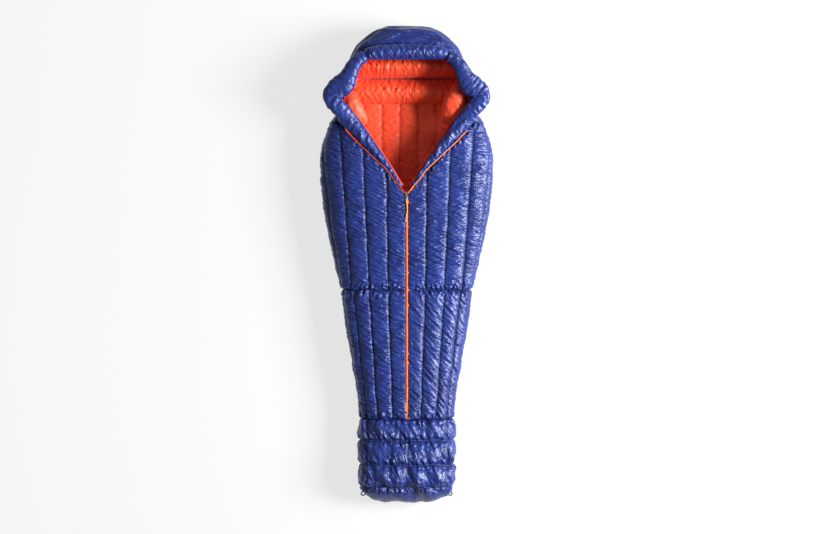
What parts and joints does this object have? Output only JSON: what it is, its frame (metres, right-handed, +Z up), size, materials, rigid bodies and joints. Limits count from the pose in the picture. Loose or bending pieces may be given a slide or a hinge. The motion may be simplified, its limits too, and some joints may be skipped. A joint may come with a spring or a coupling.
{
  "type": "mummy sleeping bag",
  "caption": "Quilted down mummy sleeping bag with a padded hood, centre zip open in a V at the neck, foot box and hang loops; the zipped flaps fold open.",
  "frame": {"origin": "on the ground under the middle of the bag's bounding box, the bag lying on its back", "axes": "+Y from foot to head, +Z up from the ground to the front of the bag, +X across it"},
  "size_m": [0.7456, 2.062, 0.242],
  "materials": {
    "shell_fabric": "glossy ripstop nylon",
    "lining_fabric": "satin nylon taffeta",
    "zip_tape": "woven polyester tape",
    "zip_coil": "semi-gloss nylon coil",
    "zip_metal": "plated zinc alloy",
    "pull_cord": "braided cord",
    "loop_cord": "black braided cord"
  },
  "bodies": {
    "root": {"back_torso_chambers": "shell_fabric", "back_leg_chambers": "shell_fabric", "left_side_chambers": "shell_fabric", "right_side_chambers": "shell_fabric", "left_chest_panel": "shell_fabric", "right_chest_panel": "shell_fabric", "left_leg_panel": "shell_fabric", "right_leg_panel": "shell_fabric", "foot_top_chambers": "shell_fabric", "foot_toe_chamber": "shell_fabric", "foot_back_chambers": "shell_fabric", "hood_back_chambers": "shell_fabric", "hood_crown": "shell_fabric", "hood_end": "shell_fabric", "hood_brim": "shell_fabric", "left_face_rim": "shell_fabric", "right_face_rim": "shell_fabric", "left_hood_side": "shell_fabric", "right_hood_side": "shell_fabric", "head_tube_upper": "lining_fabric", "head_tube_lower": "lining_fabric", "left_collar": "lining_fabric", "right_collar": "lining_fabric", "back_lining": "lining_fabric", "left_side_lining": "lining_fabric", "right_side_lining": "lining_fabric", "front_lining": "lining_fabric", "zip_foot_end": "zip_tape", "zip_bottom_stop": "zip_metal", "left_hang_loop": "loop_cord", "right_hang_loop": "loop_cord"},
    "left_flap": {"left_flap_chambers": "shell_fabric", "left_draft_tube": "shell_fabric", "left_flap_lining": "lining_fabric", "left_zip_tape": "zip_tape", "left_zip_coil": "zip_coil", "left_zip_stop": "zip_metal"},
    "right_flap": {"right_flap_chambers": "shell_fabric", "right_draft_tube": "shell_fabric", "right_flap_lining": "lining_fabric", "right_zip_tape": "zip_tape", "right_zip_coil": "zip_coil", "right_zip_stop": "zip_metal"},
    "zip_slider": {"zip_slider": "zip_metal"},
    "zip_pull": {"zip_pull": "zip_metal", "pull_cord": "pull_cord", "cord_end": "pull_cord"}
  },
  "joints": [
    {"name": "left_flap_open", "type": "hinge", "parent": "root", "child": "left_flap", "pos_m": [-0.014, -0.65, 0.15047], "axis": [0.1962, -0.9802, -0.0271], "range_deg": [0, 150]},
    {"name": "right_flap_open", "type": "hinge", "parent": "root", "child": "right_flap", "pos_m": [0.014, -0.65, 0.15047], "axis": [0.1962, 0.9802, 0.0271], "range_deg": [0, 150]},
    {"name": "zip_slide", "type": "slide", "parent": "left_flap", "child": "zip_slider", "axis": [0, -0.9996, -0.0276], "range_m": [0, 0.84]},
    {"name": "zip_pull_lift", "type": "hinge", "parent": "zip_slider", "child": "zip_pull", "pos_m": [0, 0.29279, 0.17804], "axis": [-1, 0, 0], "range_deg": [0, 170]}
  ],
  "couplings": [
    {"joint": "right_flap_open", "follows": "left_flap_open", "ratio": 1},
    {"joint": "zip_slide", "follows": "left_flap_open", "m_per_rad": 0.32085}
  ]
}
